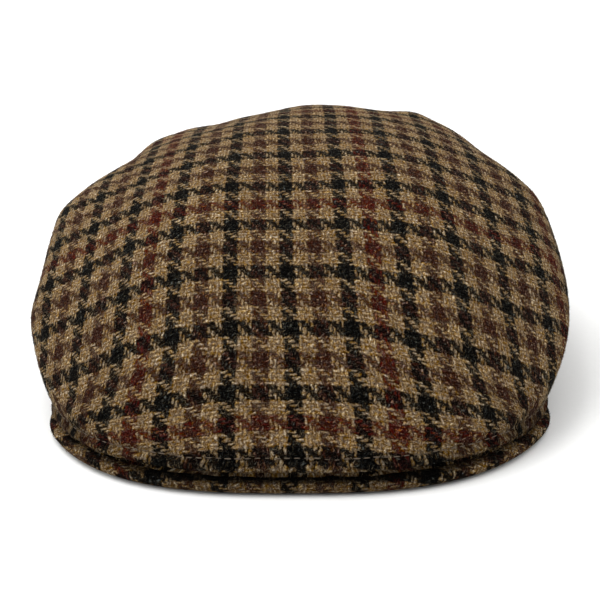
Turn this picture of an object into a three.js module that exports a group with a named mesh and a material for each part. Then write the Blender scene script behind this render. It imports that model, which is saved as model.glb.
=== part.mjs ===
// A tweed flat cap that stands on a table.
// A soft hollow crown of three cloth panels lies over a stiff peak covered in the same cloth.
// Millimetres, +Z up, peak towards -Y. The origin lies on the table, under the middle of the cap.
import * as THREE from "three";

const { degToRad, lerp, smoothstep } = THREE.MathUtils;

// Driving dimensions
const LENGTH = 269; // front of the peak to the back of the crown
const CROWN_WIDTH = 226;
const CROWN_HEIGHT = 100.3;
const CROWN_SETBACK = 3; // the crown's front stands this far behind the peak's front
const CLOTH = 2.2; // thickness of the crown's wall
const SEAM_GAP = 0.3; // clearance between two pieces that are sewn together

// Head opening, an oval that holds a 57 cm head
const BAND_WIDTH = 172;
const BAND_LENGTH = 205;
const BAND_BACK_INSET = 9; // the crown's back overhangs the opening by this much

// Peak
const PEAK_THICKNESS = 4.6;
const PEAK_SPREAD = 111; // half width of the rounded outline that the peak is cut from
const PEAK_POWER = 2.8; // squareness of that outline
const PEAK_TAPER = [42, 74]; // degrees round from the front over which the peak narrows to the band
const PEAK_END = 66; // degrees round from the front where the peak stops
const PEAK_MARGIN = 3.7; // width of peak left showing in front of the crown
const PEAK_TIP_RISE = 0.9; // the tips stand this far above the front edge
const PEAK_ROOT_HEIGHT = 8; // underside where the peak meets the head opening, at the front
const PEAK_ROOT_END_HEIGHT = 2;

// Crown
const PLAN_CENTRE_Y = 8.5; // centre that the plan outlines are drawn round
const APEX_X = 6; // highest point of the crown, a little to the wearer's left
const APEX_Y = 43;
const FRONT_POWER = 2.7; // squareness of the plan outline, in front and behind
const BACK_POWER = 2.3;
const SIDE_SEAM_HEIGHT = 27; // seam between the top panel and a side panel, at the side and at the back
const BACK_SEAM_HEIGHT = 36;
const SEAM_RISE = 34; // degrees over which the seam climbs from the peak's end to its full height

// Sections round the crown, in degrees from the front.
// widest: height of the widest line; fall and shoulder: powers of the curve from the top down to that line,
// where 2 and 2 make an ellipse and a smaller shoulder makes a straighter ramp.
const SECTIONS = [
  { turn: 0, widest: 9.3, fall: 2, shoulder: 1.24 },
  { turn: 25, widest: 13.2, fall: 2.1, shoulder: 1.27 },
  { turn: 45, widest: 21.4, fall: 2.4, shoulder: 1.1 },
  { turn: 65, widest: 35, fall: 2.1, shoulder: 1.4 },
  { turn: 95, widest: 42, fall: 2.05, shoulder: 1.9 },
  { turn: 180, widest: 47.5, fall: 2.1, shoulder: 2 },
];

// Soft dents and swells of the crown. turn: degrees from the front, to the wearer's left when positive;
// spread: half width in degrees; from and to: its start and end between the top (0) and the widest line (1);
// depth: millimetres pressed in, or swollen out when negative.
const DENTS = [
  { turn: -125, spread: 27, from: 0, to: 0.46, depth: 4 },
  { turn: -106, spread: 8, from: 0.3, to: 1.1, depth: 3 },
  { turn: -83, spread: 17, from: 0.45, to: 1.05, depth: -5.5 },
  { turn: 108, spread: 14, from: 0.3, to: 1.1, depth: 3 },
  { turn: 86, spread: 12, from: 0.45, to: 1.05, depth: -2 },
  { turn: 125, spread: 25, from: 0.2, to: 0.7, depth: -1.5 },
];

// Fineness of the faceted solids
const TOP_CELLS = 36;
const WIDEST_RING = 0.84; // share of the top panel's rings that lie above the widest line
const SIDE_STEPS = 24;
const SIDE_ROWS = 6;
const PEAK_STEPS = 44;
const PEAK_ROWS = 5;
const EDGE_STEPS = 6;

// Value of a column of SECTIONS at an angle, on a smooth curve through the rows.
function section(column, turn) {
  const angle = Math.abs(THREE.MathUtils.radToDeg(turn));
  const last = SECTIONS.length - 1;
  const i = Math.min(last - 1, SECTIONS.findLastIndex((row) => row.turn <= angle));
  const slopeAt = (k) =>
    k <= 0 || k >= last
      ? 0
      : (SECTIONS[k + 1][column] - SECTIONS[k - 1][column]) / (SECTIONS[k + 1].turn - SECTIONS[k - 1].turn);
  const span = SECTIONS[i + 1].turn - SECTIONS[i].turn;
  const t = (angle - SECTIONS[i].turn) / span;
  const rise = SECTIONS[i + 1][column] - SECTIONS[i][column];
  const start = slopeAt(i) * span;
  const end = slopeAt(i + 1) * span;
  const square = 3 * rise - 2 * start - end;
  const cube = start + end - 2 * rise;
  return SECTIONS[i][column] + start * t + square * t ** 2 + cube * t ** 3;
}

// A point at an angle round the plan centre, an outline radius and a height.
function planPoint(turn, radius, height) {
  return new THREE.Vector3(radius * Math.sin(turn), PLAN_CENTRE_Y - radius * Math.cos(turn), height);
}

// Radius of a rounded outline that reaches so far ahead of the plan centre and behind it.
function roundedRadius(turn, halfWidth, ahead, behind, power) {
  const along = Math.abs(Math.cos(turn)) / (Math.cos(turn) > 0 ? ahead : behind);
  const across = Math.abs(Math.sin(turn)) / halfWidth;
  return (along ** power + across ** power) ** (-1 / power);
}

// Radius of the head opening's oval, outside the cloth.
function bandRadius(turn) {
  const halfLength = BAND_LENGTH / 2;
  const centreShift = LENGTH / 2 - BAND_BACK_INSET - halfLength - PLAN_CENTRE_Y;
  const a = (Math.sin(turn) / (BAND_WIDTH / 2)) ** 2 + (Math.cos(turn) / halfLength) ** 2;
  const b = (centreShift * Math.cos(turn)) / halfLength ** 2;
  const c = (centreShift / halfLength) ** 2 - 1;
  return (Math.sqrt(b * b - a * c) - b) / a;
}

function taper(turn) {
  return smoothstep(Math.abs(turn), ...PEAK_TAPER.map(degToRad));
}

function peakRadius(turn) {
  const reach = LENGTH / 2 + PLAN_CENTRE_Y;
  const free = roundedRadius(turn, PEAK_SPREAD, reach, reach, PEAK_POWER);
  return lerp(free, bandRadius(turn), taper(turn));
}

// Height of the peak's underside at a radius.
function peakUnder(turn, radius) {
  const root = bandRadius(turn) - CLOTH;
  const share = (radius - root) / (peakRadius(turn) - root);
  const side = smoothstep(Math.abs(turn), 0, degToRad(PEAK_END));
  const rootHeight = lerp(PEAK_ROOT_HEIGHT, PEAK_ROOT_END_HEIGHT, side);
  return lerp(rootHeight, PEAK_TIP_RISE * side, share);
}

function lipRadius(turn) {
  return peakRadius(turn) - PEAK_MARGIN;
}

// Height of the lip, which clears the peak on the inner side of the cloth too.
function lipHeight(turn) {
  return peakUnder(turn, lipRadius(turn) - CLOTH) + PEAK_THICKNESS + SEAM_GAP;
}

function crownRadius(turn) {
  const back = smoothstep(Math.abs(turn), degToRad(70), degToRad(130));
  const ahead = LENGTH / 2 + PLAN_CENTRE_Y - CROWN_SETBACK;
  const behind = LENGTH / 2 - PLAN_CENTRE_Y;
  return roundedRadius(turn, CROWN_WIDTH / 2, ahead, behind, lerp(FRONT_POWER, BACK_POWER, back));
}

// Lowest line of the crown: the lip on the peak in front, and the head opening behind the peak's ends.
function foot(turn) {
  const behind = smoothstep(Math.abs(turn), degToRad(PEAK_END - 12), degToRad(PEAK_END));
  const bounded = Math.sign(turn || 1) * Math.min(Math.abs(turn), degToRad(PEAK_END));
  const front = planPoint(turn, lipRadius(turn), lipHeight(bounded));
  return front.lerp(planPoint(turn, bandRadius(turn), 0), behind);
}

// Lower edge of the top panel: the lip in front, then the seam, which climbs from the peak's end to the back.
function seamHeight(turn) {
  const angle = Math.abs(turn);
  const end = degToRad(PEAK_END);
  const full = lerp(SIDE_SEAM_HEIGHT, BACK_SEAM_HEIGHT, smoothstep(angle, Math.PI / 2, Math.PI));
  return lerp(lipHeight(Math.min(angle, end)), full, smoothstep(angle, end, end + degToRad(SEAM_RISE)));
}

// Crown from its top (share 0) to its widest line (share 1), without dents.
function domePoint(turn, share) {
  const quarter = (share * Math.PI) / 2;
  const out = Math.sin(quarter) ** (2 / section("fall", turn));
  const up = Math.max(0, Math.cos(quarter)) ** (2 / section("shoulder", turn));
  const widest = section("widest", turn);
  const top = new THREE.Vector3(APEX_X, APEX_Y, CROWN_HEIGHT);
  const point = top.clone().lerp(planPoint(turn, crownRadius(turn), widest), out);
  point.z = lerp(widest, CROWN_HEIGHT, up);
  return point;
}

// Crown below its widest line, at a height.
function skirtPoint(turn, height) {
  const low = foot(turn);
  const widest = section("widest", turn);
  const point = planPoint(turn, crownRadius(turn), widest);
  point.lerp(low, smoothstep((widest - height) / (widest - low.z), 0, 1));
  point.z = height;
  return point;
}

// Unit vector out of a surface, from its neighbours in both directions.
function outward(surface, u, v) {
  const step = 1e-3;
  const along = surface(u + step, v).sub(surface(u - step, v));
  const down = surface(u, v + step).sub(surface(u, v - step));
  return down.cross(along).normalize();
}

function dentDepth(turn, share) {
  const angle = THREE.MathUtils.radToDeg(turn);
  return DENTS.reduce((sum, dent) => {
    const away = (angle - dent.turn) / dent.spread;
    const place = THREE.MathUtils.clamp((share - dent.from) / (dent.to - dent.from), 0, 1);
    return sum + dent.depth * Math.exp(-away * away) * Math.sin(Math.PI * place) ** 2;
  }, 0);
}

// Top panel at a share from its top (0) to its lower edge (1), with dents pressed in.
function topPoint(turn, share) {
  if (share > WIDEST_RING) {
    const down = (share - WIDEST_RING) / (1 - WIDEST_RING);
    return skirtPoint(turn, lerp(section("widest", turn), seamHeight(turn) + SEAM_GAP / 2, down));
  }
  const place = share / WIDEST_RING;
  const point = domePoint(turn, place);
  const depth = dentDepth(turn, place);
  return depth !== 0 ? point.addScaledVector(outward(domePoint, turn, Math.max(place, 0.01)), -depth) : point;
}

// Side panel at an angle, from the seam (share 0) down to the table (share 1).
function sidePoint(turn, share) {
  return skirtPoint(turn, lerp(seamHeight(turn) - SEAM_GAP / 2, 0, share));
}

// Angle and distance from the middle of a square's point when the square is pressed into a disc.
function squareToDisc(a, b) {
  const share = Math.max(Math.abs(a), Math.abs(b));
  if (share === 0) return { turn: 0, share };
  const quarter = Math.PI / 4;
  if (Math.abs(b) >= Math.abs(a)) {
    const front = (-quarter * a) / b;
    const back = Math.sign(a || 1) * (Math.PI - quarter * Math.abs(a / b));
    return { turn: b < 0 ? front : back, share };
  }
  return { turn: Math.sign(a) * (2 * quarter + (quarter * b) / Math.abs(a)), share };
}

// Closed solid between two grids of points, one outside and one inside, joined round their borders.
function wallSolid(outer, inner) {
  const rows = outer.length;
  const columns = outer[0].length;
  const index = (layer, r, c) => (layer * rows + r) * columns + c;
  const triangles = [];
  const quad = (a, b, c, d) => triangles.push(a, b, c, a, c, d);
  for (let r = 0; r < rows - 1; r++) {
    for (let c = 0; c < columns - 1; c++) {
      const cell = [[r, c], [r, c + 1], [r + 1, c + 1], [r + 1, c]];
      // Each cell is split along the diagonal that points away from the middle of the grid.
      if ((2 * r + 2 - rows) * (2 * c + 2 - columns) < 0) cell.push(cell.shift());
      quad(...cell.map(([row, column]) => index(0, row, column)));
      const [first, ...rest] = cell.map(([row, column]) => index(1, row, column));
      quad(first, ...rest.reverse());
    }
  }
  const border = [];
  for (let c = 0; c < columns - 1; c++) border.push([0, c]);
  for (let r = 0; r < rows - 1; r++) border.push([r, columns - 1]);
  for (let c = columns - 1; c > 0; c--) border.push([rows - 1, c]);
  for (let r = rows - 1; r > 0; r--) border.push([r, 0]);
  border.forEach(([r, c], i) => {
    const [nextR, nextC] = border[(i + 1) % border.length];
    quad(index(0, nextR, nextC), index(0, r, c), index(1, r, c), index(1, nextR, nextC));
  });
  return meshGeometry([outer, inner].flat(2), triangles);
}

function meshGeometry(points, triangles) {
  const geometry = new THREE.BufferGeometry().setFromPoints(points);
  geometry.setIndex(triangles);
  geometry.computeVertexNormals();
  return geometry;
}

// A point moved in by the cloth's thickness. A point on a flat rim keeps its height.
function insideOf(surface, turn, share, onRim) {
  const point = surface(turn, share);
  const out = outward(surface, turn, share);
  if (onRim) out.setZ(0).normalize();
  return point.addScaledVector(out, -CLOTH);
}

function topPanel() {
  const outer = [];
  const inner = [];
  for (let row = 0; row <= TOP_CELLS; row++) {
    outer.push([]);
    inner.push([]);
    for (let column = 0; column <= TOP_CELLS; column++) {
      const { turn, share } = squareToDisc((2 * column) / TOP_CELLS - 1, (2 * row) / TOP_CELLS - 1);
      outer[row].push(topPoint(turn, share));
      inner[row].push(
        share === 0
          ? new THREE.Vector3(APEX_X, APEX_Y, CROWN_HEIGHT - CLOTH)
          : insideOf(topPoint, turn, Math.min(share, 0.999), share === 1),
      );
      if (share === 1) inner[row][column].z = outer[row][column].z;
    }
  }
  return wallSolid(outer, inner);
}

function sidePanel(side) {
  const clear = SEAM_GAP / 2 / bandRadius(Math.PI / 2);
  const start = degToRad(PEAK_END) + clear;
  const end = Math.PI - clear;
  const outer = [];
  const inner = [];
  for (let row = 0; row <= SIDE_ROWS; row++) {
    const share = row / SIDE_ROWS;
    outer.push([]);
    inner.push([]);
    for (let step = 0; step <= SIDE_STEPS; step++) {
      const turn = side * lerp(start, end, step / SIDE_STEPS);
      const point = sidePoint(turn, share);
      const radius = Math.hypot(point.x, point.y - PLAN_CENTRE_Y);
      const behind = planPoint(turn, radius - CLOTH, point.z);
      outer[row].push(point);
      inner[row].push(behind);
    }
    if (side < 0) continue;
    outer[row].reverse();
    inner[row].reverse();
  }
  return wallSolid(outer, inner);
}

// Section through the peak from the head opening to its rounded edge and back under.
function peakSection(turn) {
  const root = bandRadius(turn) - CLOTH;
  const half = PEAK_THICKNESS / 2;
  const edge = peakRadius(turn) - half;
  const outline = [];
  for (let row = 0; row < PEAK_ROWS; row++) {
    const radius = lerp(root, edge, row / PEAK_ROWS);
    outline.push(planPoint(turn, radius, peakUnder(turn, radius) + PEAK_THICKNESS));
  }
  for (let step = 0; step <= EDGE_STEPS; step++) {
    const angle = Math.PI * (0.5 - step / EDGE_STEPS);
    const radius = edge + half * Math.cos(angle);
    outline.push(planPoint(turn, radius, peakUnder(turn, edge) + half * (1 + Math.sin(angle))));
  }
  for (let row = PEAK_ROWS - 1; row >= 0; row--) {
    const radius = lerp(root, edge, row / PEAK_ROWS);
    outline.push(planPoint(turn, radius, peakUnder(turn, radius)));
  }
  return outline;
}

function peakSolid() {
  const end = degToRad(PEAK_END) - SEAM_GAP / 2 / bandRadius(Math.PI / 2);
  const sections = [];
  for (let step = 0; step <= PEAK_STEPS; step++) {
    sections.push(peakSection(lerp(-end, end, step / PEAK_STEPS)));
  }
  const count = sections[0].length;
  const triangles = [];
  for (let step = 0; step < PEAK_STEPS; step++) {
    for (let k = 0; k < count; k++) {
      const here = step * count + k;
      const beside = step * count + ((k + 1) % count);
      triangles.push(here, beside, beside + count, here, beside + count, here + count);
    }
  }
  const last = PEAK_STEPS * count;
  for (let k = 0; k < count / 2 - 1; k++) {
    const [a, b, c, d] = [k, k + 1, count - 2 - k, count - 1 - k];
    triangles.push(a, c, b, a, d, c);
    triangles.push(last + a, last + b, last + c, last + a, last + c, last + d);
  }
  return meshGeometry(sections.flat(), triangles.filter((_, i, all) => !repeats(all, i - (i % 3))));
}

// Whether the triangle that starts at a place in a list uses one point twice.
function repeats(list, start) {
  const [a, b, c] = list.slice(start, start + 3);
  return a === b || b === c || c === a;
}

const tweed = new THREE.MeshStandardMaterial({ color: 0x7d6444, roughness: 0.95, metalness: 0 });

function named(name, geometry) {
  const mesh = new THREE.Mesh(geometry, tweed.clone());
  mesh.name = name;
  return mesh;
}

const cap = new THREE.Group();
cap.add(named("crown_top", topPanel()));
cap.add(named("side_panel_left", sidePanel(1)));
cap.add(named("side_panel_right", sidePanel(-1)));
cap.add(named("peak", peakSolid()));

// The swell on one side moves the middle of the cap, so all pieces are moved back over the origin together.
const extent = new THREE.Box3().setFromObject(cap, true);
const middle = extent.getCenter(new THREE.Vector3()).setZ(extent.min.z);
cap.children.forEach((piece) => piece.geometry.translate(-middle.x, -middle.y, -middle.z));

export default cap;
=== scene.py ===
# A tweed flat cap on a pale floor: its cloth with the woven check, its rolled lip and its stitches.
# Sizes are in millimetres unless a comment says otherwise, and the finished meshes are in metres.
import math

import bmesh
import bpy
import numpy as np
from mathutils import Matrix, Vector, noise
from mathutils.bvhtree import BVHTree


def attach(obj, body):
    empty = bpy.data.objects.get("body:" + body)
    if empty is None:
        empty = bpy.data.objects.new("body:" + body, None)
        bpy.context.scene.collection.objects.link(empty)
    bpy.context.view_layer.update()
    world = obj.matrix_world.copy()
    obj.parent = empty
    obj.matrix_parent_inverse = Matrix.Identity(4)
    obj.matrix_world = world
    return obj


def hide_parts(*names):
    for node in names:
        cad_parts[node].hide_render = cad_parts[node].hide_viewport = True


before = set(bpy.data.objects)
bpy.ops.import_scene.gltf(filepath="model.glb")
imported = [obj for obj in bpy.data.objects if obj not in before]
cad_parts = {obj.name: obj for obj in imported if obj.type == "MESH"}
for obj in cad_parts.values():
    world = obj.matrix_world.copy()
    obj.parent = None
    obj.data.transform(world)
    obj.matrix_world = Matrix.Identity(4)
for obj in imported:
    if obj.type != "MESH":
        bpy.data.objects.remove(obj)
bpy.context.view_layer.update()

MM = 0.001
WHOLE = 0.5  # whole numbers that are nearer to each other than this are the same
NOISE_MIDDLE = 0.5

# The cloth is a two-over-two twill. Both ways its stripes are dark, tan, coloured and tan, four yarns each.
FLOAT_YARNS = 2  # a yarn goes over this many others, then under as many
STRIPES = 4
STRIPE_YARNS = 4
DARK_STRIPE = 0
COLOURED_STRIPE = 2
REPEAT_YARNS = STRIPES * STRIPE_YARNS
REPEAT_ACROSS = 21.1
REPEAT_ALONG = 23.3
YARN_ACROSS = REPEAT_ACROSS / REPEAT_YARNS
YARN_ALONG = REPEAT_ALONG / REPEAT_YARNS
RUST_EVERY = 4  # one coloured stripe in four is rust, and the others are brown
RUST_WARP = 1  # number of the first rust stripe among the warp stripes and among the weft stripes
RUST_WEFT = 2

# The yarns wander from their places, counted in yarns, and the edges of the stripes are combed into each
# other. Ripples are for each millimetre, and the layers keep the noises apart.
SLOW_WANDER = 1.0
SLOW_RIPPLES = 0.09
QUICK_WANDER = 1.3
QUICK_RIPPLES = 0.6
WARP_LAYER = 0.0
WEFT_LAYER = 9.0
COMB = 1.5
COMB_RIPPLES = 4.5

# The wool in a yarn, in ripples for each yarn's width: across it, along it, slanted by its twist, and from
# one yarn to the next, with the layer of each.
TWISTED = {"across": 4.5, "along": 1.2, "slant": 1.5, "next": 0.61, "layer": 0.0}
DRAWN = {"across": 2.0, "along": 1.0, "slant": 0.8, "next": 0.37, "layer": 50.0}

# Noises over the flat cloth: ripples for each millimetre, how fine and how rough each is, and its layer.
NOISES = {
    "strays": {"layer": 4.0, "ripples": 2.6, "detail": 3.0, "roughness": 0.75},
    "pale curls": {"layer": 20.0, "ripples": 1 / 0.8, "detail": 2.0, "roughness": 0.5},
    "warp comb": {"layer": 30.0, "ripples": 1.0, "detail": 2.0, "roughness": 0.5},
    "weft comb": {"layer": 40.0, "ripples": 1.0, "detail": 2.0, "roughness": 0.5},
    "dark curls": {"layer": 60.0, "ripples": 1 / 1.1, "detail": 2.0, "roughness": 0.5},
    "specks": {"layer": 70.0, "ripples": 3.0, "detail": 2.0, "roughness": 0.6},
    "dye": {"layer": 80.0, "ripples": 0.8, "detail": 2.0, "roughness": 0.7},
}
CURL_WIDTH = 0.11

# Each value shows from the first of its two levels and is full at the second.
BLEND_REACH = (0.3, 0.7)
HAIR_REACH = (0.54, 0.72)
COVER_REACH = (0.1, 0.7)
DYE_REACH = (0.3, 0.7)
SPECK_REACH = (0.6, 0.75)

# A float is the stretch of a yarn that lies on top. Nap covers its sides and ends.
FLOAT_STROKES = 4  # strokes in a float, each a little lighter or darker
RELIEF_SHARPNESS = 3
END_RELIEF = 0.2
END_COVER = 0.4
STRAY_COVER = 0.9
MILLING = 1.25  # share of the lower yarn's nap at the edges of a float, and 1 less on its back
FIBRE_HEIGHT = 0.5  # heights of the loose surface, beside that of a yarn
STRAY_HEIGHT = 0.6
CURL_HEIGHT = 0.3
RELIEF_DEPTH = 0.6

# How bright the wool is where a value is 0 and where it is 1.
LOT_LIGHT = (0.85, 1.15)
STROKE_LIGHT = (0.75, 1.25)
TWIST_LIGHT = (0.4, 1.6)
# painted shade, darker in the hollows between the floats
RELIEF_LIGHT = (0.28, 0.83)
PALE_CURL_LIGHT = (0.6, 1.5)
DARK_CURL_LIGHT = (1.0, 0.5)
STRAY_LIGHT = (0.2, 1.8)
RED_CURVE = 0.8  # the darker the wool's tone and painted shade, the redder it is, and the lighter, the bluer
BLUE_CURVE = 1.3
DYE_SATURATION = (0.65, 1.35)
SPECK_STRENGTH = 0.3

# Weft rows lie in upright planes across the middle of the crown. In front of one line and behind another
# they fan out, so that they run level round the front edge and the back.
FRONT_FAN_Y = -105
FRONT_FAN_Z = 0
BACK_FAN_Y = 60
BACK_FAN_Z = -25
FAN_RADIUS = 40  # millimetres on the scale of rows for each radian of a fan
FRONT_FAN_TURN = math.radians(84)
BACK_FAN_TURN = math.radians(92)
ROW_STEP = 2.5
SECTION_TURN = math.radians(108)  # how far down each side a section of the crown is followed
SECTION_STEP = math.radians(2)
SECTION_REACH = 300  # a section is looked for from this far outside
MISSED_RADIUS = 1.0  # stands for a section that misses the crown
SHORT_OF_LAST = 1.001  # places stay just short of the last row and turn, so that there is a next one
ZERO_ROW_Y = -81.9  # a dark weft row crosses the middle of the crown here
ZERO_COLUMN = -1.1  # a dark warp stripe crosses that row here
WARP_LEAN = 0.057  # sideways for each millimetre along
ROW_BEND_FROM = 62  # beyond this distance from the middle the rows bend towards the back
ROW_BEND = 0.0079  # by this times the square of the distance beyond
ROW_BEND_EASE = 80  # and more gently from about this far beyond

FRONT_EASE = 0.085  # share by which the cloth is stretched sideways towards the lip
FRONT_EASE_FROM = 30  # the stretch grows between these places along
FRONT_EASE_TO = 58

# Where the cloth was eased along on the block: middle and half-width of each place, and its rows' shift.
EASED = [
    {"across": 52, "along": 46, "wide": 26, "long": 28, "shift": -3.2},
    {"across": -52, "along": 46, "wide": 26, "long": 28, "shift": -3.2},
    {"across": 0, "along": 60, "wide": 26, "long": 9, "shift": 2.3},
    {"across": 0, "along": 74, "wide": 60, "long": 9, "shift": 2.2},
    {"across": 42, "along": 4, "wide": 18, "long": 30, "shift": -3.5},
    {"across": -64, "along": -52, "wide": 20, "long": 34, "shift": 4.0},
]

# The cloth pieces start from the solids, merged, with pairs of triangles joined, and subdivided.
MERGE_DISTANCE = 0.01
JOIN_ANGLE = math.radians(60)
SUBDIVISIONS = 2

PLAN_CENTRE_Y = 8.5  # centre that the lip and the peak are drawn round
PEAK_END = 66  # degrees from the front to each end of the peak
EDGE_STEP = 2  # degrees between the points that are looked for along an edge

# The peak's cloth lies straight from front to back and is folded round its edge.
PEAK_EDGE_RADIUS = 2.3
PEAK_COLUMN = 0.5  # a dark stripe lies here across the peak
PEAK_ROW = 7.0  # place along the cloth of the middle of the front edge, in a tan stripe
PEAK_STRETCH = 0.906
PAINTED_PEAK_SHADE = 0.57  # brightness of the painted shade in the middle of the peak
PAINTED_PEAK_SHADE_REACH = (30, 85)  # it brightens between these distances from the middle
PAINTED_CREASE_SHADE = 0.16  # brightness of the painted shade in the crease under the lip
CREASE_REACH = (0.0, 3.0)  # it brightens between these distances round the edge
CREASE_AT_ENDS = 0.2  # share of the crease's painted shade that is left at the ends of the peak

# The lip of the crown is turned in and sewn down on the peak.
LIP_TOP = 7.2  # the edge of the lip lies below this height
LIP_TUCK = 1.6  # the edge itself is tucked in under the bulge
LIP_TUCK_WIDTH = 0.9
LIP_BULGE = 1.6
LIP_BULGE_RISE = 2.8
LIP_BULGE_WIDTH = 1.5
LIP_SAG = 0.9
LIP_SAG_RISE = 1.9
LIP_CLOSES_FROM = 38  # degrees from the front, beyond which the lip closes on the peak
LIP_FACING = 0.5  # cloth that is turned outwards at least this much is moved in full
PAINTED_LIP_SHADE = 0.5  # brightness of the painted shade along the lip
PAINTED_LIP_SHADE_REACH = (2.0, 9.0)  # it brightens between these distances up from its edge
LIP_FAR = 30  # the cloth is not followed further up from the edge than this
LIP_POINTS = 600  # along the edge of the lip
LIP_BATCHES = 40  # the crown's points are measured from the edge in this many batches
STITCH_RISE = 4.8  # from the edge of the lip up to the stitches
STITCH_PITCH = 3.3
STITCH_LENGTH = 2.3
STITCH_THICKNESS = 0.42
STITCH_SIZES = (0.85, 1.15)  # the smallest and the largest, beside those sizes
STITCH_SINK = 0.15  # how far a stitch lies in or out at most
STITCH_SEARCH = 20  # the cloth is looked for from this far outside
STITCH_AHEAD = 1  # the way of a stitch is read from the edge this far on
STITCH_SEED = 5
GROOVE_DEPTH = 0.7
GROOVE_WIDTH = 1.0
PUCKER = 0.45
PUCKER_LENGTH = 9
PUCKER_WIDTH = 3.0

# The cloth is not quite even. Its waves grow over a height above the lip, and above the hem.
WAVE = 0.7
WAVE_LENGTH = 38
WAVE_SEED = 1
LIP_CALM = 10
HEM_CALM = 20

# Soft bumps and dents of the crown: the middle of each, its half-width, and how far it stands out.
DENTS = [
    {"x": -73, "y": 48, "z": 84, "wide": 12, "lift": 2.3},
    {"x": -59, "y": 63, "z": 88, "wide": 9, "lift": 1.1},
    {"x": -44, "y": 75, "z": 90, "wide": 6, "lift": -2.9},
    {"x": 0, "y": 70, "z": 98, "wide": 12, "lift": 0.7},
    {"x": 34, "y": 66, "z": 97, "wide": 8, "lift": -0.9},
    {"x": 54, "y": 61, "z": 94, "wide": 9, "lift": 2.2},
    {"x": -110, "y": 2, "z": 61, "wide": 9, "lift": 1.2},
    {"x": -107, "y": -56, "z": 33, "wide": 16, "lift": 1.6},
    {"x": 104, "y": 7, "z": 65, "wide": 9, "lift": 0.8},
]
DENT_CENTRE = (0, PLAN_CENTRE_Y, 30)  # the cloth moves straight away from this point inside the crown

BACK_SEAM = 1.0  # half-width of the seam at the centre back
SEAM_REACH = 6.0  # the side panels are drawn into the crown from this far below their tops
SEAM_OVERLAP = 1.2
SEAM_STEP = math.radians(1.5)

# Loose fibres, on cloth that faces away from a point low in the cap.
FIBRE_PIECES = 3
FIBRES_IN_PIECE = 30000
SIDE_FIBRES = 12000
PEAK_FIBRES = 12000
CROWN_SEED = 0  # of the first piece on the crown
LEFT_SEED = 10
RIGHT_SEED = 11
PEAK_SEED = 12
FIBRE_CENTRE = (0, PLAN_CENTRE_Y, 10)
FIBRE_FACING = -0.5  # there are none on cloth that faces further down than this
FIBRE_LENGTH = (0.7, 2.4)
FIBRE_RADIUS = 0.045
FIBRE_CURL = 0.4  # sideways at most, as a share of half the length
FIBRE_ROOT = 0.1  # how far one end is sunk into the cloth
FIBRE_LIFT = (0.05, 0.3)  # how far the middle stands off the cloth
FIBRE_STAND = (-0.1, 0.5)  # how far the other end does
FIBRE_SPREAD = 0.5  # a fibre comes from a yarn about this far away
WARP_SHARE = 0.5  # share of the fibres that come from the warp
PALE_CURVE = 4  # the higher, the fewer fibres are pale
WOOL_LEVEL = 0.7  # brightness of the fibres on the crown and the sides
# the fibres on the peak are dimmer, as painted shade like that of its cloth
PEAK_WOOL_LEVEL = 0.45
TINY_AREA = 1e-9  # stands in for a face with no area

THREAD_GRAIN = 2500  # ripples for each metre
THREAD_DEPTH = 0.1

# The studio, in metres and watts, is white at the horizon and, with a painted glow, on the floor far away,
# and duller above.
FLOOR_HALF = 60.0
FLOOR_GRAIN = 400
# the floor's painted glow, and the distances from the cap over which it grows
FLOOR_PAINTED_GLOW = 0.7
FLOOR_PAINTED_GLOW_REACH = (2.0, 7.0)
HORIZON_REACH = (0.2, 0.5)
SKY_LEVEL = 0.36
WHITE = (1.0, 1.0, 1.0, 1.0)
CAP_MIDDLE = (0, 0, 0.05)
LIGHTS = [
    {"name": "ceiling", "place": (0, 6.0, 6.0), "aim": (0, 6.0, 0), "size": 22.0, "power": 2450},
    {"name": "overhead", "place": (-0.6, 0.2, 1.25), "aim": CAP_MIDDLE, "size": 1.0, "power": 15},
    {"name": "front_left", "place": (-1.2, -0.9, 1.1), "aim": CAP_MIDDLE, "size": 0.9, "power": 7},
]

# The camera stands where the photograph was taken from.
CAMERA_TARGET = (-1.25, -5.5, 20.7)
CAMERA_DISTANCE = 393.4
CAMERA_ELEVATION = math.radians(20.6)
CAMERA_AZIMUTH = math.radians(3.16)
CAMERA_ROLL = math.radians(-1.78)
CAMERA_LENS = 51.2
CAMERA_NEAR = 10  # nothing nearer than this is drawn


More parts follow.
